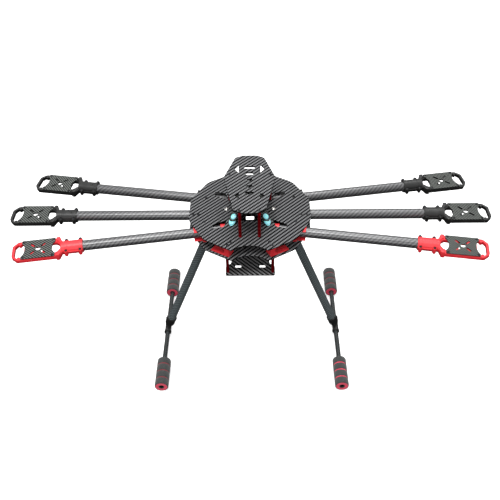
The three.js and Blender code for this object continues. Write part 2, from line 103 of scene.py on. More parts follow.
# ---- materials ----
class Graph:
    """A material's node tree, built with short calls: numbers are set on sockets, and sockets are linked."""

    def __init__(self, name, roughness, metallic=0.0, **settings):
        self.material = bpy.data.materials.new(name)
        self.material.use_nodes = True
        self.tree = self.material.node_tree
        self.shader = self.tree.nodes["Principled BSDF"]
        self.shader.inputs["Roughness"].default_value = roughness
        self.shader.inputs["Metallic"].default_value = metallic
        for socket, value in settings.items():
            self.shader.inputs[socket.replace("_", " ")].default_value = value
        self.place = self.tree.nodes.new("ShaderNodeTexCoord").outputs["Object"]

    def _feed(self, socket, value):
        if isinstance(value, bpy.types.NodeSocket):
            self.tree.links.new(value, socket)
        else:
            socket.default_value = value

    def math(self, operation, *values):
        node = self.tree.nodes.new("ShaderNodeMath")
        node.operation = operation
        for socket, value in zip(node.inputs, values):
            self._feed(socket, value)
        return node.outputs[0]

    def xyz(self):
        node = self.tree.nodes.new("ShaderNodeSeparateXYZ")
        self._feed(node.inputs[0], self.place)
        return node.outputs[0], node.outputs[1], node.outputs[2]

    def vector(self, x, y, z=0.0):
        node = self.tree.nodes.new("ShaderNodeCombineXYZ")
        for socket, value in zip(node.inputs, (x, y, z)):
            self._feed(socket, value)
        return node.outputs[0]

    def noise(self, scale, detail=2.0, vector=None):
        node = self.tree.nodes.new("ShaderNodeTexNoise")
        self._feed(node.inputs["Vector"], self.place if vector is None else vector)
        node.inputs["Scale"].default_value = scale
        node.inputs["Detail"].default_value = detail
        return node.outputs["Fac"]

    def cells(self, scale):
        node = self.tree.nodes.new("ShaderNodeTexVoronoi")
        self._feed(node.inputs["Vector"], self.place)
        node.inputs["Scale"].default_value = scale
        return node.outputs["Distance"]

    def blend(self, factor, low, high, kind="RGBA"):
        """A colour, or a number, between low and high."""
        node = self.tree.nodes.new("ShaderNodeMix")
        node.data_type = kind
        sockets = [s for s in node.inputs if s.enabled]
        self._feed(sockets[0], factor)
        for socket, value in zip(sockets[1:], (low, high)):
            self._feed(socket, (*value, 1.0) if isinstance(value, tuple) else value)
        return next(s for s in node.outputs if s.enabled)

    def spread(self, value, low, high, to_low, to_high):
        node = self.tree.nodes.new("ShaderNodeMapRange")
        for socket, number in zip(node.inputs, (value, low, high, to_low, to_high)):
            self._feed(socket, number)
        return node.outputs[0]

    def edges(self, width=0.0007):
        """1 on sharp edges, 0 on flat faces."""
        soft = self.tree.nodes.new("ShaderNodeBevel")
        soft.samples = 6
        soft.inputs["Radius"].default_value = width
        flat = self.tree.nodes.new("ShaderNodeNewGeometry")
        compare = self.tree.nodes.new("ShaderNodeVectorMath")
        compare.operation = "DOT_PRODUCT"
        self.tree.links.new(soft.outputs[0], compare.inputs[0])
        self.tree.links.new(flat.outputs["Normal"], compare.inputs[1])
        return self.spread(compare.outputs["Value"], 0.8, 0.98, 1.0, 0.0)

    def colour(self, value):
        self._feed(self.shader.inputs["Base Color"], value)

    def rough(self, value):
        self._feed(self.shader.inputs["Roughness"], value)

    def bump(self, height, distance, strength=1.0):
        node = self.tree.nodes.new("ShaderNodeBump")
        node.inputs["Strength"].default_value = strength
        node.inputs["Distance"].default_value = distance
        self._feed(node.inputs["Height"], height)
        self.tree.links.new(node.outputs[0], self.shader.inputs["Normal"])


def twill_material(name, tow, slant, dark, light, roughness, round_tube=0.0, coat=0.0, shine=0.1, share=1.85):
    """Carbon fibre in a 2x2 twill, flat in the object's XY plane or wrapped round a tube along its X axis,
    with painted sheen on the tows and painted shade between them.
    """
    graph = Graph(name, roughness, Coat_Weight=coat, Coat_Roughness=0.3, Specular_IOR_Level=shine)
    x, y, z = graph.xyz()
    across_all = y
    if round_tube:
        across_all = graph.math("MULTIPLY", graph.math("ARCTAN2", y, z), round_tube * MM)
    u = graph.math("DIVIDE", x, tow * MM)
    v = graph.math("DIVIDE", across_all, tow * MM)
    step = graph.math("MULTIPLY_ADD", graph.math("FLOOR", v), slant, graph.math("FLOOR", u))
    over = graph.math("LESS_THAN", graph.math("FLOORED_MODULO", step, 4.0), share)
    crown_u = graph.math("SINE", graph.math("MULTIPLY", graph.math("FRACT", u), math.pi))
    crown_v = graph.math("SINE", graph.math("MULTIPLY", graph.math("FRACT", v), math.pi))
    crown = graph.blend(over, crown_v, crown_u, "FLOAT")
    fine_u, fine_v = (graph.math("MULTIPLY", part, 9.0) for part in (u, v))
    coarse_u, coarse_v = (graph.math("MULTIPLY", part, 0.5) for part in (u, v))
    warp_fibres = graph.noise(1.0, 3.0, graph.vector(fine_u, coarse_v))
    weft_fibres = graph.noise(1.0, 3.0, graph.vector(coarse_u, fine_v))
    patches = graph.noise(22.0, 3.0)
    # painted sheen: the warp takes the light colour and the weft the dark one, standing for how the fibres
    # reflect light
    warp = graph.blend(warp_fibres, tuple(0.78 * c for c in light), tuple(1.2 * c for c in light))
    weft = graph.blend(weft_fibres, tuple(0.6 * c for c in dark), tuple(1.5 * c for c in dark))
    woven = graph.blend(over, weft, warp)
    # painted shade: the valleys between the tows are darkened in the colour
    valleys = graph.spread(crown, 0.0, 0.55, 0.0, 1.0)
    shaded = graph.blend(valleys, tuple(0.35 * c for c in dark), woven)
    graph.colour(shaded)
    graph.rough(graph.spread(patches, 0.3, 0.7, roughness - 0.06, roughness + 0.08))
    graph.bump(crown, tow * MM * 0.06, 0.6)
    return graph.material


def cut_edge_material(name, base):
    """The sawn edge of a carbon plate: thin layers, one above the other, dull and a little fluffy."""
    graph = Graph(name, 0.7, Specular_IOR_Level=0.06)
    layer_angle = graph.math("MULTIPLY", graph.xyz()[2], 2 * math.pi / (0.25 * MM))
    layers = graph.math("SINE", layer_angle)
    fluff = graph.noise(900.0, 3.0)
    tone = graph.math("ADD", graph.math("MULTIPLY", layers, 0.35), fluff)
    layered = graph.spread(tone, 0.1, 0.9, 0.0, 1.0)
    graph.colour(graph.blend(layered, tuple(0.4 * c for c in base), tuple(1.6 * c for c in base)))
    graph.rough(graph.spread(fluff, 0.3, 0.7, 0.6, 0.85))
    graph.bump(layers, 0.00003, 0.5)
    return graph.material


def plastic_material(name, base, worn, roughness, shine):
    """Moulded plastic with a fine grain, faint flow marks and rubbed edges."""
    graph = Graph(name, roughness, Specular_IOR_Level=shine)
    flow = graph.noise(26.0, 4.0)
    tinted = graph.blend(flow, tuple(0.86 * c for c in base), tuple(min(1.0, 1.1 * c) for c in base))
    patches = graph.spread(graph.noise(160.0, 3.0), 0.4, 0.65, 0.15, 0.8)
    rubbed = graph.math("MULTIPLY", graph.edges(), patches)
    graph.colour(graph.blend(rubbed, tinted, worn))
    graph.rough(graph.spread(graph.noise(90.0, 3.0), 0.3, 0.7, roughness - 0.07, roughness + 0.1))
    graph.bump(graph.noise(1900.0, 2.0), 0.00006, 0.55)
    return graph.material


def metal_material(name, base, roughness, worn):
    """Turned metal: fine rings round the Z axis, and worn patches."""
    graph = Graph(name, roughness, 1.0)
    streaks = (30.0, 30.0, 2400.0)
    scaled = [graph.math("MULTIPLY", part, factor) for part, factor in zip(graph.xyz(), streaks)]
    rings = graph.noise(1.0, 2.0, graph.vector(*scaled))
    tinted = graph.blend(rings, tuple(0.8 * c for c in base), tuple(min(1.0, 1.2 * c) for c in base))
    graph.colour(graph.blend(graph.spread(graph.noise(300.0, 3.0), 0.55, 0.75, 0.0, 0.6), tinted, worn))
    graph.rough(graph.spread(rings, 0.3, 0.7, roughness - 0.08, roughness + 0.1))
    graph.bump(rings, 0.00002, 0.4)
    return graph.material


def foam_material(name, base, worn):
    """Closed-cell foam: small open pores on a dull skin, with painted shade in the pores."""
    graph = Graph(name, 0.92, Sheen_Weight=0.25, Sheen_Roughness=0.6)
    pores = graph.cells(620.0)
    tone = graph.blend(graph.noise(70.0, 4.0), tuple(0.75 * c for c in base), tuple(1.25 * c for c in base))
    # painted shade: the pores are darkened in the colour
    pitted = graph.blend(graph.spread(pores, 0.05, 0.5, 0.0, 1.0), tuple(0.45 * c for c in base), tone)
    graph.colour(graph.blend(graph.spread(graph.noise(140.0, 4.0), 0.58, 0.74, 0.0, 0.5), pitted, worn))
    graph.rough(graph.spread(pores, 0.0, 0.6, 1.0, 0.84))
    graph.bump(pores, 0.00035, 0.7)
    return graph.material


def silicone_material(name, base):
    """Soft translucent silicone with a dusty bloom and a painted glow."""
    graph = Graph(name, 0.32, Subsurface_Weight=0.35, Subsurface_Scale=0.004, Specular_IOR_Level=0.5)
    # painted glow: a faint pale-blue light from the silicone itself, though it is no lamp
    graph.shader.inputs["Emission Color"].default_value = (0.2, 0.75, 0.9, 1.0)
    graph.shader.inputs["Emission Strength"].default_value = 0.22
    bloom = graph.noise(240.0, 4.0)
    graph.colour(graph.blend(bloom, tuple(0.82 * c for c in base), tuple(min(1.0, 1.12 * c) for c in base)))
    graph.rough(graph.spread(bloom, 0.3, 0.7, 0.24, 0.46))
    graph.bump(graph.noise(1400.0, 2.0), 0.00003, 0.4)
    return graph.material


# Each cloth's light tow colour is a painted sheen, brightest on the tray.
PLATE_CLOTH = twill_material(
    "plate_twill", 2.43, -1.0, (0.0004, 0.0004, 0.0006), (0.17, 0.172, 0.177), 0.5, shine=0.02, share=1.4
)
DECK_CLOTH = twill_material(
    "deck_twill", 2.43, -1.0, (0.001, 0.001, 0.0013), (0.18, 0.182, 0.187), 0.5, shine=0.04, share=1.5
)
TRAY_CLOTH = twill_material(
    "tray_twill", 2.43, 1.0, (0.0004, 0.0004, 0.0006), (0.28, 0.282, 0.288), 0.5, shine=0.03, share=1.4
)
FINE_CLOTH = twill_material(
    "fine_twill", 1.45, 1.0, (0.008, 0.009, 0.0085), (0.15, 0.16, 0.15), 0.45, shine=0.1, share=1.9
)
TUBE_CLOTH = twill_material(
    "tube_twill", 2.2, -1.0, (0.004, 0.004, 0.005), (0.1, 0.1, 0.106), 0.36,
    round_tube=TUBE_RADIUS, coat=1.0, shine=0.6, share=2.0,
)
SKID_CLOTH = twill_material(
    "skid_twill", 1.5, 1.0, (0.006, 0.008, 0.008), (0.03, 0.036, 0.038), 0.4,
    round_tube=SKID_RADIUS, coat=0.3, shine=0.3, share=2.0,
)
LEG_CLOTH = twill_material(
    "leg_twill", 1.5, 1.0, (0.045, 0.055, 0.058), (0.14, 0.165, 0.172), 0.5,
    round_tube=LEG_RADIUS, coat=0.1, shine=0.3, share=2.0,
)
CUT_EDGE = cut_edge_material("sawn_carbon_edge", (0.003, 0.003, 0.0033))
RED_PLASTIC = plastic_material("red_moulded_plastic", (0.7, 0.026, 0.036), (0.95, 0.16, 0.13), 0.4, 0.5)
BLACK_PLASTIC = plastic_material(
    "black_moulded_plastic", (0.006, 0.0062, 0.006), (0.07, 0.07, 0.068), 0.34, 0.6
)
RED_METAL = metal_material("red_anodised_metal", (0.4, 0.002, 0.008), 0.4, (0.6, 0.06, 0.06))
DARK_STEEL = metal_material("blackened_steel", (0.03, 0.03, 0.033), 0.42, (0.15, 0.15, 0.16))
BRIGHT_STEEL = metal_material("bright_steel", (0.72, 0.71, 0.68), 0.3, (0.9, 0.9, 0.88))
GREY_FOAM = foam_material("grey_closed_cell_foam", (0.024, 0.027, 0.027), (0.06, 0.065, 0.066))
RED_FOAM = foam_material("red_closed_cell_foam", (0.78, 0.03, 0.09), (0.9, 0.12, 0.16))
DULL_RED_FOAM = foam_material("dull_red_closed_cell_foam", (0.2, 0.012, 0.022), (0.1, 0.03, 0.04))
SILICONE = silicone_material("pale_blue_silicone", (0.42, 0.95, 1.0))


# ---- outlines ----
def rounded(corners, cut, steps=5):
    """Points of a closed outline through the corners, each corner rounded off over the length cut."""
    points = []
    for i, corner in enumerate(corners):
        here = Vector(corner)
        start = here + (Vector(corners[i - 1]) - here).normalized() * cut
        end = here + (Vector(corners[(i + 1) % len(corners)]) - here).normalized() * cut
        for k in range(steps + 1):
            t = k / steps
            points.append(tuple(start * (1 - t) ** 2 + here * 2 * t * (1 - t) + end * t**2))
    return points


def circle(x, y, radius, steps=24):
    angles = [2 * math.pi * k / steps for k in range(steps)]
    return [(x + radius * math.cos(a), y + radius * math.sin(a)) for a in angles]


def rectangle(x, y, half_x, half_y, cut):
    signs = ((-1, -1), (1, -1), (1, 1), (-1, 1))
    return rounded([(x + sx * half_x, y + sy * half_y) for sx, sy in signs], cut)


def dense(points, step=0.8):
    """The same closed outline with points no further apart than step."""
    result = []
    for i, point in enumerate(points):
        a, b = Vector(point), Vector(points[(i + 1) % len(points)])
        count = max(1, math.ceil((b - a).length / step))
        result += [tuple(a.lerp(b, k / count)) for k in range(count)]
    return result


def scooped(points, x, y, radius, steps=28):
    """The outline with a round bite out of it, where the circle crosses it once in and once out."""
    points = dense(points)
    inside = [math.hypot(px - x, py - y) < radius for px, py in points]
    first = next(i for i in range(len(points)) if inside[i] and not inside[i - 1])
    turned = points[first:] + points[:first]
    kept = [p for p in turned if math.hypot(p[0] - x, p[1] - y) >= radius]
    start = math.atan2(kept[-1][1] - y, kept[-1][0] - x)
    end = math.atan2(kept[0][1] - y, kept[0][0] - x)
    sweep = (end - start + math.pi) % (2 * math.pi) - math.pi
    angles = [start + sweep * k / steps for k in range(steps + 1)]
    arc = [(x + radius * math.cos(a), y + radius * math.sin(a)) for a in angles]
    return tidied(kept + arc)


def tidied(points, bend=0.004):
    """The outline without the points that lie on a straight run."""
    kept = []
    for i, point in enumerate(points):
        a = Vector(point) - Vector(points[i - 1])
        b = Vector(points[(i + 1) % len(points)]) - Vector(point)
        if a.length < 0.02:
            continue
        if b.length < 0.02 or abs(a.normalized().cross(b.normalized())) > bend:
            kept.append(point)
    return kept


def mirrored(half):
    """A closed outline from its right half."""
    return [*half, *[(-x, y) for x, y in reversed(half)]]


def mirrored_across(half):
    """A closed outline from its half on one side of the X axis."""
    return [*half, *[(x, -y) for x, y in reversed(half)]]


def all_four(x, y):
    """The point in each of the four quarters."""
    return [(x, y), (-x, y), (x, -y), (-x, -y)]


# ---- meshes ----
def taken(mesh):
    shape = bmesh.new()
    shape.from_mesh(mesh)
    bpy.data.meshes.remove(mesh)
    return shape


def plate(outline, holes, bottom, top, bevel=0.25):
    """A flat solid with eased edges."""
    curve = bpy.data.curves.new("outline", "CURVE")
    curve.dimensions = "2D"
    curve.fill_mode = "BOTH"
    curve.extrude = (top - bottom) / 2 - bevel
    curve.bevel_depth = bevel
    curve.bevel_resolution = 1
    curve.offset = -bevel
    for points in [outline, *holes]:
        spline = curve.splines.new("POLY")
        spline.points.add(len(points) - 1)
        for knot, (x, y) in zip(spline.points, points):
            knot.co = (x, y, 0, 1)
        spline.use_cyclic_u = True
    holder = bpy.data.objects.new("outline", curve)
    bpy.context.scene.collection.objects.link(holder)
    mesh = bpy.data.meshes.new_from_object(holder.evaluated_get(bpy.context.evaluated_depsgraph_get()))
    bpy.data.objects.remove(holder)
    bpy.data.curves.remove(curve)
    shape = taken(mesh)
    bmesh.ops.remove_doubles(shape, verts=shape.verts, dist=1e-3)
    bmesh.ops.recalc_face_normals(shape, faces=shape.faces)
    bmesh.ops.translate(shape, verts=shape.verts, vec=(0, 0, (bottom + top) / 2))
    return shape


def lathe(profile, segments=32, closed=False, axis="X"):
    """(along, radius) points turned about the X axis, then laid along another axis if one is named."""
    shape = bmesh.new()
    rings = []
    for along, radius in profile:
        if radius < 1e-6:
            rings.append([shape.verts.new((along, 0, 0))])
            continue
        angles = [2 * math.pi * k / segments for k in range(segments)]
        rings.append([shape.verts.new((along, radius * math.cos(a), radius * math.sin(a))) for a in angles])
    for a, b in zip(rings, rings[1:] + (rings[:1] if closed else [])):
        if len(a) == 1 and len(b) == 1:
            continue
        for k in range(segments):
            n = (k + 1) % segments
            corners = [a[k % len(a)], a[n % len(a)], b[n % len(b)], b[k % len(b)]]
            shape.faces.new(list(dict.fromkeys(corners)))
    bmesh.ops.recalc_face_normals(shape, faces=shape.faces)
    if axis == "Z":
        shape.transform(Matrix.Rotation(-math.pi / 2, 4, "Y"))
    if axis == "Y":
        shape.transform(Matrix.Rotation(math.pi / 2, 4, "Z"))
    return shape


def rod(start, end, radius, ease=0.4, segments=32, axis="X"):
    """A solid round bar with eased ends."""
    profile = [
        (start, 0), (start, radius - ease), (start + ease, radius),
        (end - ease, radius), (end, radius - ease), (end, 0),
    ]
    return lathe(profile, segments, axis=axis)


def pipe(start, end, radius, bore, ease=0.25, segments=48):
    profile = [
        (start, bore), (start, radius - ease), (start + ease, radius),
        (end - ease, radius), (end, radius - ease), (end, bore),
    ]
    return lathe(profile, segments, closed=True)


def moved(shape, x=0, y=0, z=0):
    shape.transform(Matrix.Translation((x, y, z)))
    return shape


def merged(*shapes):
    """One mesh of several separate shells."""
    first, *others = shapes
    for other in others:
        mesh = bpy.data.meshes.new("part")
        other.to_mesh(mesh)
        other.free()
        first.from_mesh(mesh)
        bpy.data.meshes.remove(mesh)
    return first


def combined(shape, other, operation):
    """A boolean UNION or DIFFERENCE of two closed meshes."""
    holders = []
    for part in (shape, other):
        mesh = bpy.data.meshes.new("part")
        part.to_mesh(mesh)
        part.free()
        holder = bpy.data.objects.new("part", mesh)
        bpy.context.scene.collection.objects.link(holder)
        holders.append(holder)
    modifier = holders[0].modifiers.new("join", "BOOLEAN")
    modifier.operation = operation
    modifier.solver = "EXACT"
    modifier.object = holders[1]
    result = bpy.data.meshes.new_from_object(holders[0].evaluated_get(bpy.context.evaluated_depsgraph_get()))
    for holder in holders:
        mesh = holder.data
        bpy.data.objects.remove(holder)
        bpy.data.meshes.remove(mesh)
    shape = taken(result)
    bmesh.ops.remove_doubles(shape, verts=shape.verts, dist=1e-3)
    return shape


def union(first, *others):
    for other in others:
        first = combined(first, other, "UNION")
    return first


def minus(first, *others):
    for other in others:
        first = combined(first, other, "DIFFERENCE")
    return first


def button_screw(radius, height):
    """A round-topped screw head on Z=0 with its driver socket."""
    profile = [
        (0, 0), (0, radius), (height * 0.45, radius), (height * 0.8, radius * 0.82), (height, radius * 0.52),
        (height * 0.98, radius * 0.46), (height * 0.35, radius * 0.44), (height * 0.3, 0),
    ]
    return lathe(profile, 18, axis="Z")


def nut(radius, height):
    """A six-sided nut, hanging down from Z=0, with chamfered corners and the bolt's end showing."""
    profile = [(-height, 0), (-height, radius * 0.8), (-height * 0.82, radius), (0, radius), (0, 0)]
    body = lathe(profile, 6, axis="Z")
    end = rod(-height - 0.8, -height * 0.5, radius * 0.5, 0.3, 16, "Z")
    return merged(body, end)


def screw_at(x, y, z, radius=2.7, height=1.7, under=False):
    """A screw head standing on the level z, or hanging under it."""
    head = button_screw(radius, height)
    if under:
        head.transform(Matrix.Rotation(math.pi, 4, "X"))
    return moved(head, x, y, z)


# ---- placing ----
def placed(name, shape, body, slot, materials, replaces=(), matrix=None, paint=None):
    """Makes a piece from a shape in millimetres, riding a body and standing for the CAD nodes it replaces."""
    shape.transform(Matrix.Scale(MM, 4))
    for face in shape.faces:
        face.smooth = True
        if paint:
            face.material_index = paint(face.calc_center_median() / MM, face.normal)
    for edge in shape.edges:
        if len(edge.link_faces) != 2 or edge.calc_face_angle(0) > SMOOTH_ANGLE:
            edge.smooth = False
    mesh = bpy.data.meshes.new(name)
    shape.to_mesh(mesh)
    shape.free()
    for material in materials if isinstance(materials, list) else [materials]:
        mesh.materials.append(material)
    piece = bpy.data.objects.new(name, mesh)
    bpy.context.scene.collection.objects.link(piece)
    if matrix is not None:
        turn = matrix.to_quaternion().to_matrix().to_4x4()
        piece.matrix_world = Matrix.Translation(matrix.translation * MM) @ turn
    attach(piece, body)
    if replaces:
        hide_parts(*replaces)
    return piece


def sawn(centre, normal):
    """Which of a carbon plate's two materials a face takes: the cloth, or the sawn edge."""
    return 0 if abs(normal.z) > 0.9 else 1


def placed_plate(name, shape, body, cloth, node, matrix=None):
    placed(name, shape, body, "carbon_plate", [cloth, CUT_EDGE], [node], matrix, sawn)


def plastic_of(arm):
    """The slot and the material of an arm's plastic: red in front, black elsewhere."""
    if arm.startswith("front"):
        return "red_plastic", RED_PLASTIC
    return "black_plastic", BLACK_PLASTIC


def turned_at(x, y, z, degrees):
    """A matrix at a point, turned about the vertical."""
    return Matrix.Translation((x, y, z)) @ Matrix.Rotation(math.radians(degrees), 4, "Z")


def frame_of(origin, along, up):
    """A matrix at origin whose X axis runs along a direction, with its Y axis square to up."""
    x = Vector(along).normalized()
    y = Vector(up).cross(x).normalized()
    z = x.cross(y)
    turn = Matrix((x, y, z)).transposed().to_4x4()
    return Matrix.Translation(origin) @ turn


# ---- centre plates, deck and tray ----
def centre_plate_outline():
    corner = PLATE_FLAT / math.cos(math.pi / 12)
    angles = [math.radians(15 + 30 * i) for i in range(12)]
    points = rounded([(corner * math.cos(a), corner * math.sin(a)) for a in angles], 10, 4)
    for side in (1, -1):
        points = scooped(points, 0, side * (PLATE_FLAT - ARC_DEPTH + ARC_RADIUS), ARC_RADIUS)
    return points


def pivot_of(angle):
    return PIVOT_CIRCLE * math.cos(math.radians(angle)), PIVOT_CIRCLE * math.sin(math.radians(angle))


def make_centre_plates():
    outline = centre_plate_outline()
    bolt_holes = [circle(*pivot_of(pivot), 2.8, 16) for pivot, _, _ in ARMS.values()]
    wire_slot = [(44, 31), (72, 45), (70, 56), (50, 51)]
    wire_slots = [rounded([(sx * x, sy * y) for x, y in wire_slot], 3) for sx in (1, -1) for sy in (1, -1)]
    window = rectangle(0, -26, 17.5, 8, 4)
    top = plate(outline, [*bolt_holes, *wire_slots, window], TOP_FACE - PLATE, TOP_FACE)
    placed_plate("top_centre_plate", top, "frame", PLATE_CLOTH, "top_plate")
    cable_hole = rectangle(0, 5, 8, 6, 2)
    strap_slots = [rectangle(x, y, 9, 2, 1.5) for x, y in all_four(30, 74)]
    lower = plate(outline, [*bolt_holes, cable_hole, *strap_slots], LOWER_Z, LOWER_Z + PLATE)
    placed_plate("lower_centre_plate", lower, "frame", PLATE_CLOTH, "lower_plate")


def make_deck():
    outline = rounded(mirrored([(11, -86), (30, -77), (50, 22), (29, 85), (13, 92)]), 5, 6)
    holes = [circle(side * x, y, 1.9, 14) for x, y in DECK_POSTS for side in (1, -1)]
    for side in (1, -1):
        holes.append(rounded([(side * x, y) for x, y in ((21, 35), (30, 48), (21.5, 62))], 1.5))
        holes.append(rounded([(side * x, y) for x, y in ((20, -46), (28, -34), (20, -28))], 2))
    for row, width in enumerate((22, 15, 10, 12, 16)):
        holes.append(rectangle(0, 52 - 20 * row, width / 2, 4, 3.5))
    deck = plate(outline, holes, DECK_Z, DECK_Z + DECK_PLATE, 0.4)
    placed_plate("raised_deck", deck, "frame", DECK_CLOTH, "upper_deck")
    foot = [(0, 0), (0, 2.6), (0.5, POST_RADIUS), (3, POST_RADIUS), (3.4, 2.7), (4, 2.7), (4.4, POST_RADIUS)]
    profile = foot + [(DECK_Z - TOP_FACE - along, radius) for along, radius in reversed(foot)]
    for (x, y), end in zip(DECK_POSTS, ("front", "rear")):
        for side, word in ((-1, "left"), (1, "right")):
            post = moved(lathe(profile, 24, axis="Z"), side * x, y, TOP_FACE)
            name = f"{end}_{word}_deck_post"
            placed(name, post, "frame", "red_anodised", RED_METAL, [f"{end}_{word}_deck_standoff"])


def make_tray():
    half = [(48.5, -95), (48.5, -69), (38, -62), (38, 62), (48.5, 69), (48.5, 95)]
    holes = [rectangle(x, y, 6, 3.5, 2) for x, y in all_four(24, 70)]
    holes += [rectangle(0, 73, 12, 11, 3), rectangle(0, -5, 14, 25, 6)]
    tray = plate(rounded(mirrored(half), 4), holes, TRAY_Z, TRAY_Z + PLATE)
    placed_plate("hung_tray", tray, "frame", TRAY_CLOTH, "battery_tray")
    posts = []
    rise = LOWER_Z - TRAY_Z - PLATE
    profile = [(0, 0), (0, 2.6), (0.5, POST_RADIUS), (rise - 0.5, POST_RADIUS), (rise, 2.6), (rise, 0)]
    for x, y in TRAY_POSTS:
        for side in (1, -1):
            posts.append(moved(lathe(profile, 24, axis="Z"), side * x, y, TRAY_Z + PLATE))
    placed("tray_posts", merged(*posts), "frame", "red_anodised", RED_METAL)


def make_controller():
    height = CONTROLLER_Z - TOP_FACE
    lean = 0.275
    base = (35.3, 44.8)
    front = [(24, -30), (26, -48), (38, -48), (38, -34), (33, -22)]
    half = mirrored_across(front)
    neck = [c - lean * (height + 0.75) for c in base]
    holes = [circle(x, y, 3.2, 18) for x, y in all_four(*neck)]
    shape = plate(rounded(mirrored(half), 3), holes, CONTROLLER_Z, CONTROLLER_Z + 1.5, 0.2)
    placed_plate("damped_plate", shape, "frame", FINE_CLOTH, "controller_plate")
    lower_lobe = [math.radians(d) for d in range(-60, 50, 15)]
    upper_lobe = [math.radians(d) for d in range(-35, 66, 14)]
    profile = [(0, 0), (0, 3.8)]
    profile += [(6.2 + 6.2 * math.sin(a), 6.3 * math.cos(a)) for a in lower_lobe]
    profile += [(10.7, 3.4), (10.85, 2.7), (12.65, 2.7), (12.8, 3.2)]
    profile += [(16.3 + 4.2 * math.sin(a), 5.1 * math.cos(a)) for a in upper_lobe]
    profile += [(21, 1.4), (20.2, 1.0), (20.0, 0)]
    for end, back in (("front", -1), ("rear", 1)):
        for side, word in ((-1, "left"), (1, "right")):
            ball = lathe(profile, 28, axis="Z")
            tilt = Matrix.Identity(4)
            tilt[0][2] = -side * lean
            tilt[1][2] = -back * lean
            ball.transform(tilt)
            moved(ball, side * base[0], back * base[1], TOP_FACE)
            name = f"{end}_{word}_rubber_ball"
            placed(name, ball, "frame", "damping_rubber", SILICONE, [f"{end}_{word}_damping_ball"])


# ---- clips between the plates ----
def clip_places(arm):
    """The arm's clips: name, angle, size, and the side that their closed wall is on."""
    pivot, rest, swing = ARMS[arm]
    if pivot == rest:
        return [("flight_clip", pivot, FLIGHT_CLIP, -swing)]
    return [("flight_clip", pivot, FLIGHT_CLIP, swing), ("stowed_clip", rest, STOWED_CLIP, -swing)]


def clip_shape(size, wall, necked):
    """A C-shaped saddle along X, open on one side; a necked one is narrower past its root."""
    start, end, wide = size
    slot, high = TUBE_RADIUS + 0.5, INNER_HALF
    angles = [math.radians(a) for a in range(-90, 91, 10)]
    saddle = [(slot * math.cos(a), slot * math.sin(a)) for a in angles]
    lips = [(-wide, -slot - 0.2), (-wide + 1.2, -slot + 0.2), (-wide + 4, -slot)]
    corners = [(-wide, high), (wide, high), (wide, -high), (-wide, -high), *lips, *saddle]
    corners += [(y, -z) for y, z in reversed(lips)]
    shape = plate([(wall * y, z) for y, z in corners], [], start, end, 0.2)
    turn = Matrix(((0, 0, 1, 0), (1, 0, 0, 0), (0, 1, 0, 0), (0, 0, 0, 1)))
    shape.transform(turn)
    if not necked:
        return shape
    neck_at, neck = start + 10, 12
    for side in (1, -1):
        middle = side * (neck + 16)
        shape = minus(shape, plate(rectangle(neck_at + 16, middle, 16, 16, 1.5), [], -14, 14, 0.01))
    return shape


def make_clips():
    screws = []
    for arm in ARMS:
        px, py = pivot_of(ARMS[arm][0])
        for word, angle, size, wall in clip_places(arm):
            turn = turned_at(px, py, ARM_Z, angle)
            shape = clip_shape(size, wall, word == "stowed_clip")
            placed(f"{arm}_{word}_saddle", shape, "frame", *plastic_of(arm), [f"{arm}_{word}"], turn)
            for along, across in ((4, 15.5), (14, 15.5)) if word == "flight_clip" else ((4, 13.2),):
                at = turn @ Vector((size[0] + along, wall * across, 0))
                screws.append(screw_at(at.x, at.y, TOP_FACE))
                screws.append(screw_at(at.x, at.y, LOWER_Z, under=True))
    for x, y in DECK_POSTS:
        for side in (1, -1):
            screws.append(screw_at(side * x, y, DECK_Z + DECK_PLATE))
    for x, y in TRAY_POSTS:
        for side in (1, -1):
            screws.append(screw_at(side * x, y, TRAY_Z, under=True))
    placed("plate_screws", merged(*screws), "frame", "black_plastic", DARK_STEEL)


# ---- arms ----
def sleeve_shape():
    """The pivot sleeve: an upright boss and the barrel that holds the tube's root."""
    boss = rod(-INNER_HALF, INNER_HALF, 11, 0.8, 36, "Z")
    barrel = rod(0, 34, 11.3, 0.5, 36)
    ring = rod(28, 34, 11.65, 0.5, 36)
    return minus(union(boss, barrel, ring), rod(15.2, 40, TUBE_RADIUS + CLEARANCE, 0.1, 36))


def mount_shape():
    """The motor mount round the motor centre, with its tube collar towards the pivot."""
    side = [(-47, -9), (-40, -25), (38, -25), (48, -14)]
    outer = [(26, -20.5), (37, -20.5), (43, -12.5)]
    inner = [(-24, -14), (-34, -14), (-40.5, -6)]
    gusset = [(-33.5, -25), (-33.5, -15.5), (-36, -15.5), (-41, -8), (-46, -8), (-40, -25)]
    high = MOUNT_HALF_HEIGHT
    holes = [rounded(mirrored_across(half), cut) for half, cut in ((outer, 2), (inner, 3))]
    holes.append(rectangle(0, 0, 8, 11, 3))
    loop = plate(rounded(mirrored_across(side), 3, 5), holes, -high, high, 0.7)
    parts = [rod(-83, -43, COLLAR_RADIUS - 0.4, 0.6, 40)]
    for sign in (1, -1):
        parts.append(plate(rounded([(x, sign * y) for x, y in gusset], 1, 2), [], -7, 7, 0.5))
    for sign in (1, -1):
        parts.append(moved(rod(-high, high, 3.2, 0.5, 24, "Z"), 34.5, sign * 19.5))
    parts.append(plate(rectangle(-65, 0, 17, COLLAR_RADIUS + 1.2, 0.5), [], -1.5, 1.5, 0.3))
    for along in EARS_AT:
        parts.append(moved(rod(-3, 3, COLLAR_RADIUS, 0.5, 40), along))
        parts.append(plate(rectangle(along, 0, 3.1, EAR_SIDE, 0.6), [], -4.5, 4.5, 0.4))
        for side_sign in (1, -1):
            parts.append(moved(rod(-5.5, 5.5, 3.6, 0.5, 20, "Z"), along, side_sign * EAR_SIDE))
    return minus(union(loop, *parts), rod(-90, -47.7, TUBE_RADIUS + CLEARANCE, 0.01, 40))


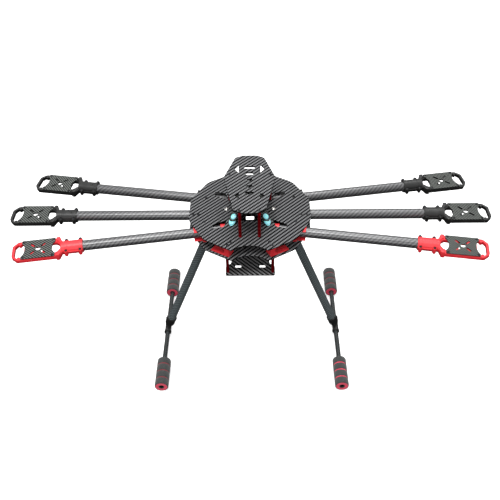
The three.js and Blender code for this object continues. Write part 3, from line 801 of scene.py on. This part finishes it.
def motor_plate_outline():
    """The motor plate's outline, with a round scoop 6 mm deep in each end."""
    inner, outer = MOTOR_PLATE_SPAN
    outline = rounded([(inner, -25), (outer, -25), (outer, 25), (inner, 25)], 2, 4)
    outline = scooped(outline, outer + 31 - 6, 0, 31)
    return scooped(outline, inner - 24 + 6, 0, 24, 20)


def motor_plate_shape():
    holes = [circle(0, 0, 4.5)]
    for angle in (45, 135, 225, 315):
        turn = Matrix.Rotation(math.radians(angle), 2)
        holes.append([tuple(turn @ Vector(p)) for p in rectangle(13.5, 0, 5.5, 1.7, 1.4)])
    return plate(motor_plate_outline(), holes, MOTOR_PLATE_BOTTOM, MOTOR_PLATE_BOTTOM + MOTOR_PLATE, 0.15)


def arm_screws():
    parts = []
    for along in EARS_AT:
        for side in (1, -1):
            parts.append(screw_at(along, side * EAR_SIDE, 5.5, 2.6, 1.8))
            parts.append(moved(nut(2.8, 1.8), along, side * EAR_SIDE, -5.5))
    for along, across in MOUNT_SCREWS:
        parts.append(screw_at(along, across, MOTOR_PLATE_BOTTOM + MOTOR_PLATE, 2.5, 1.5))
        parts.append(screw_at(along, across, -MOUNT_HALF_HEIGHT, 2.5, 1.5, under=True))
    return merged(*parts)


def make_arms():
    sleeve = sleeve_shape()
    mount = moved(mount_shape(), ARM_LENGTH)
    upper = moved(motor_plate_shape(), ARM_LENGTH)
    screws = moved(arm_screws(), ARM_LENGTH)
    head = moved(button_screw(4.4, 2.6), z=FACE)
    bolt = merged(head, moved(nut(4.4, 4), z=-FACE), rod(-FACE - 0.2, FACE + 0.2, 2.5, 0.1, 20, "Z"))
    tube = pipe(*TUBE_REACH, TUBE_RADIUS, TUBE_BORE)
    for arm, (pivot, rest, _) in ARMS.items():
        turn = turned_at(*pivot_of(pivot), ARM_Z, rest)
        body = f"{arm}_arm"
        plastic = plastic_of(arm)
        placed(f"{arm}_tube", tube.copy(), body, "carbon_tube", TUBE_CLOTH, [f"{arm}_arm_tube"], turn)
        placed(f"{arm}_pivot_housing", sleeve.copy(), body, *plastic, [f"{arm}_pivot_sleeve"], turn)
        bolt_metal = BRIGHT_STEEL if arm.startswith("middle") else DARK_STEEL
        placed(f"{arm}_pivot_bolt", bolt.copy(), body, plastic[0], bolt_metal, (), turn)
        placed(f"{arm}_mount_body", mount.copy(), body, *plastic, [f"{arm}_motor_mount"], turn)
        placed_plate(f"{arm}_upper_motor_plate", upper.copy(), body, FINE_CLOTH, f"{arm}_motor_plate", turn)
        placed(f"{arm}_mount_screws", screws.copy(), body, "black_plastic", DARK_STEEL, (), turn)


# ---- landing gear ----
def make_landing_gear():
    drop = LOWER_Z - SKID_Z
    span = math.hypot(SKID_X - LEG_TOP_X, drop)
    for side, word in ((-1, "left"), (1, "right")):
        down = Vector((side * (SKID_X - LEG_TOP_X), 0, -drop))
        leg = frame_of((side * LEG_TOP_X, 0, LOWER_Z), down, (0, 1, 0))
        tube = pipe(6, span - 12, LEG_RADIUS, 7.8)
        placed(f"{word}_leg", tube, "frame", "carbon_tube", LEG_CLOTH, [f"{word}_leg_tube"], leg)

        flange = plate(rectangle(side * 76, 0, 21, 17, 5), [], LOWER_Z - 4, LOWER_Z, 0.5)
        barrel = lathe([(-8, 0), (-8, 12.5), (39, 12.5), (39.4, 12.9), (42, 12.9), (42, 0)], 40)
        root = lathe([(-8, 0), (-8, 17), (6, 14.2), (12, 12.6), (13, 0)], 40)
        for part in (barrel, root):
            part.transform(leg)
        above = plate(rectangle(side * 76, 0, 60, 40, 1), [], LOWER_Z, LOWER_Z + 40, 0.01)
        bore = rod(5.7, 50, LEG_RADIUS + CLEARANCE, 0.1, 40)
        bore.transform(leg)
        socket = minus(union(flange, barrel, root), above, bore)
        name = f"{word}_leg_socket_body"
        placed(name, socket, "frame", "black_plastic", BLACK_PLASTIC, [f"{word}_leg_socket"])

        tee = frame_of((side * SKID_X, 0, SKID_Z), down, (0, 1, 0))
        lip = [(-30, 0), (-30, 11.1), (-29.6, 11.5), (-26.4, 11.5), (-26, 11.0)]
        cup = lathe([*lip, (-12, 11.0), (-1, 7), (0, 6.5), (0, 0)], 40)
        cup.transform(tee)
        ends = [(-22, 0), (-22, 7.6), (-21.6, 8), (-17.4, 8), (-17, 7.4), (-16.5, 6.9)]
        profile = ends + [(-along, radius) for along, radius in reversed(ends)]
        barrel = moved(lathe(profile, 36, axis="Y"), side * SKID_X, 0, SKID_Z)
        skid_bore = moved(rod(-30, 30, SKID_RADIUS + CLEARANCE, 0.1, 36, "Y"), side * SKID_X, 0, SKID_Z)
        leg_bore = rod(-35, -11.7, LEG_RADIUS + CLEARANCE, 0.1, 40)
        leg_bore.transform(tee)
        body = minus(union(barrel, cup), skid_bore, leg_bore)
        placed(f"{word}_skid_tee_body", body, "frame", "black_plastic", BLACK_PLASTIC, [f"{word}_skid_tee"])

        skid = pipe(-171.5, 171.5, SKID_RADIUS, 4)
        skid_place = turned_at(side * SKID_X, 0, SKID_Z, 90)
        placed(f"{word}_skid", skid, "frame", "carbon_tube", SKID_CLOTH, [f"{word}_skid_tube"], skid_place)
        for end, back in (("front", -1), ("rear", 1)):
            turn = turned_at(side * SKID_X, 0, SKID_Z, back * 90)
            shape, paint = foam_shape()
            name = f"{end}_{word}_foam_sleeve"
            ring_foam = RED_FOAM if (end, word) == ("front", "right") else DULL_RED_FOAM
            foams = [GREY_FOAM, RED_FOAM, ring_foam]
            sleeve = placed(name, shape, "frame", "grey_foam", foams, [f"{end}_{word}_foam"], turn, paint)

    screws = []
    for side in (-1, 1):
        for x, y in SOCKET_SCREWS:
            screws.append(screw_at(side * x, y, LOWER_Z - 4, 2.5, 1.5, under=True))
            screws.append(screw_at(side * x, y, LOWER_Z + PLATE, 2.5, 1.5))
    placed("leg_socket_screws", merged(*screws), "frame", "black_plastic", DARK_STEEL)


def foam_shape():
    """Four grey lengths of foam with thin red rings between them and red inner faces at the ends, along X."""
    start, end, outer, inner = 102, 172.5, FOAM_RADIUS, 5.4
    ring, soft = 2.6, 0.9
    length = (end - start - 3 * ring) / 4
    profile = [(start, 5.6), (start, 6.2), (start, 12.8)]
    at = start
    for k in range(4):
        ease = 2.0 if k == 0 else soft
        profile += [(at, outer - ease), (at + ease * 0.3, outer - ease * 0.3), (at + ease, outer)]
        last = at + length
        ease = 2.0 if k == 3 else soft
        profile += [(last - ease, outer), (last - ease * 0.3, outer - ease * 0.3), (last, outer - ease)]
        if k < 3:
            profile += [(last, outer - soft - 0.1), (last + ring, outer - soft - 0.1)]
        at = last + ring
    profile += [(end, 12.8), (end, 6.2), (end, 5.6), (end - 3, inner), (start + 3, inner)]
    rings = [(start + (k + 1) * length + k * ring, start + (k + 1) * (length + ring)) for k in range(3)]

    def paint(centre, normal):
        radius = math.hypot(centre.y, centre.z)
        on_face = min(abs(centre.x - start), abs(centre.x - end)) < 0.01 and 6.1 < radius < 12.8
        in_ring = radius > 12 and any(a + 0.1 < centre.x < b - 0.1 for a, b in rings)
        if on_face:
            return 1
        return 2 if in_ring else 0

    return lathe(profile, 40, closed=True), paint


# ---- floor, light and camera ----
def make_stage():
    size = 30.0
    mesh = bpy.data.meshes.new("floor")
    corners = [(-size, -size, 0), (size, -size, 0), (size, size, 0), (-size, size, 0)]
    mesh.from_pydata(corners, [], [(0, 1, 2, 3)])
    floor = bpy.data.objects.new("floor", mesh)
    bpy.context.scene.collection.objects.link(floor)
    graph = Graph("pale_floor", 0.9, Specular_IOR_Level=0.1)
    graph.colour((0.93, 0.93, 0.93, 1.0))
    graph.shader.inputs["Emission Color"].default_value = (1.0, 1.0, 1.0, 1.0)
    graph.shader.inputs["Emission Strength"].default_value = 0.4
    mesh.materials.append(graph.material)
    floor.visible_diffuse = False
    floor.visible_glossy = False

    world = bpy.data.worlds.new("studio")
    world.use_nodes = True
    tree = world.node_tree
    background = tree.nodes["Background"]
    background.inputs["Color"].default_value = (1.0, 1.0, 1.0, 1.0)
    height = tree.nodes.new("ShaderNodeSeparateXYZ")
    tree.links.new(tree.nodes.new("ShaderNodeTexCoord").outputs["Generated"], height.inputs[0])
    fade = tree.nodes.new("ShaderNodeMapRange")
    for socket, value in zip(fade.inputs[1:], (-0.35, 0.5, 0.06, 0.8)):
        socket.default_value = value
    tree.links.new(height.outputs[2], fade.inputs[0])
    tree.links.new(fade.outputs[0], background.inputs["Strength"])
    bpy.context.scene.world = world
    lights = [
        ("key", (-0.3, -0.9, 3.0), 1.0, 58.0),
        ("top", (0.2, 0.9, 2.7), 1.4, 36.0),
        ("front", (-0.2, -2.6, 1.0), 1.2, 16.0),
    ]
    for name, place, width, power in lights:
        light = bpy.data.lights.new(name, "AREA")
        light.size = width
        light.energy = power
        lamp = bpy.data.objects.new(name, light)
        bpy.context.scene.collection.objects.link(lamp)
        lamp.location = place
        lamp.rotation_euler = (Vector((0, 0, 0.3)) - Vector(place)).to_track_quat("-Z", "Y").to_euler()


def make_camera():
    down_angle = math.radians(CAMERA_DOWN)
    turn = Matrix.Rotation(math.radians(CAMERA_TURN), 3, "Z")
    roll = math.radians(CAMERA_ROLL)
    right = Vector((1, 0, 0))
    forward = Vector((0, math.cos(down_angle), -math.sin(down_angle)))
    down = Vector((0, -math.sin(down_angle), -math.cos(down_angle)))
    rolled_right = right * math.cos(roll) + down * math.sin(roll)
    rolled_down = down * math.cos(roll) - right * math.sin(roll)
    axes = Matrix((turn @ rolled_right, turn @ -rolled_down, turn @ -forward)).transposed().to_4x4()
    data = bpy.data.cameras.new("camera")
    data.sensor_width = 36.0
    data.lens = CAMERA_LENS
    camera = bpy.data.objects.new("camera", data)
    bpy.context.scene.collection.objects.link(camera)
    camera.matrix_world = Matrix.Translation(CAMERA_PLACE) @ axes
    bpy.context.scene.camera = camera


make_camera()
make_stage()
make_centre_plates()
make_deck()
make_tray()
make_controller()
make_clips()
make_arms()
make_landing_gear()

bpy.context.scene.view_settings.view_transform = "Standard"
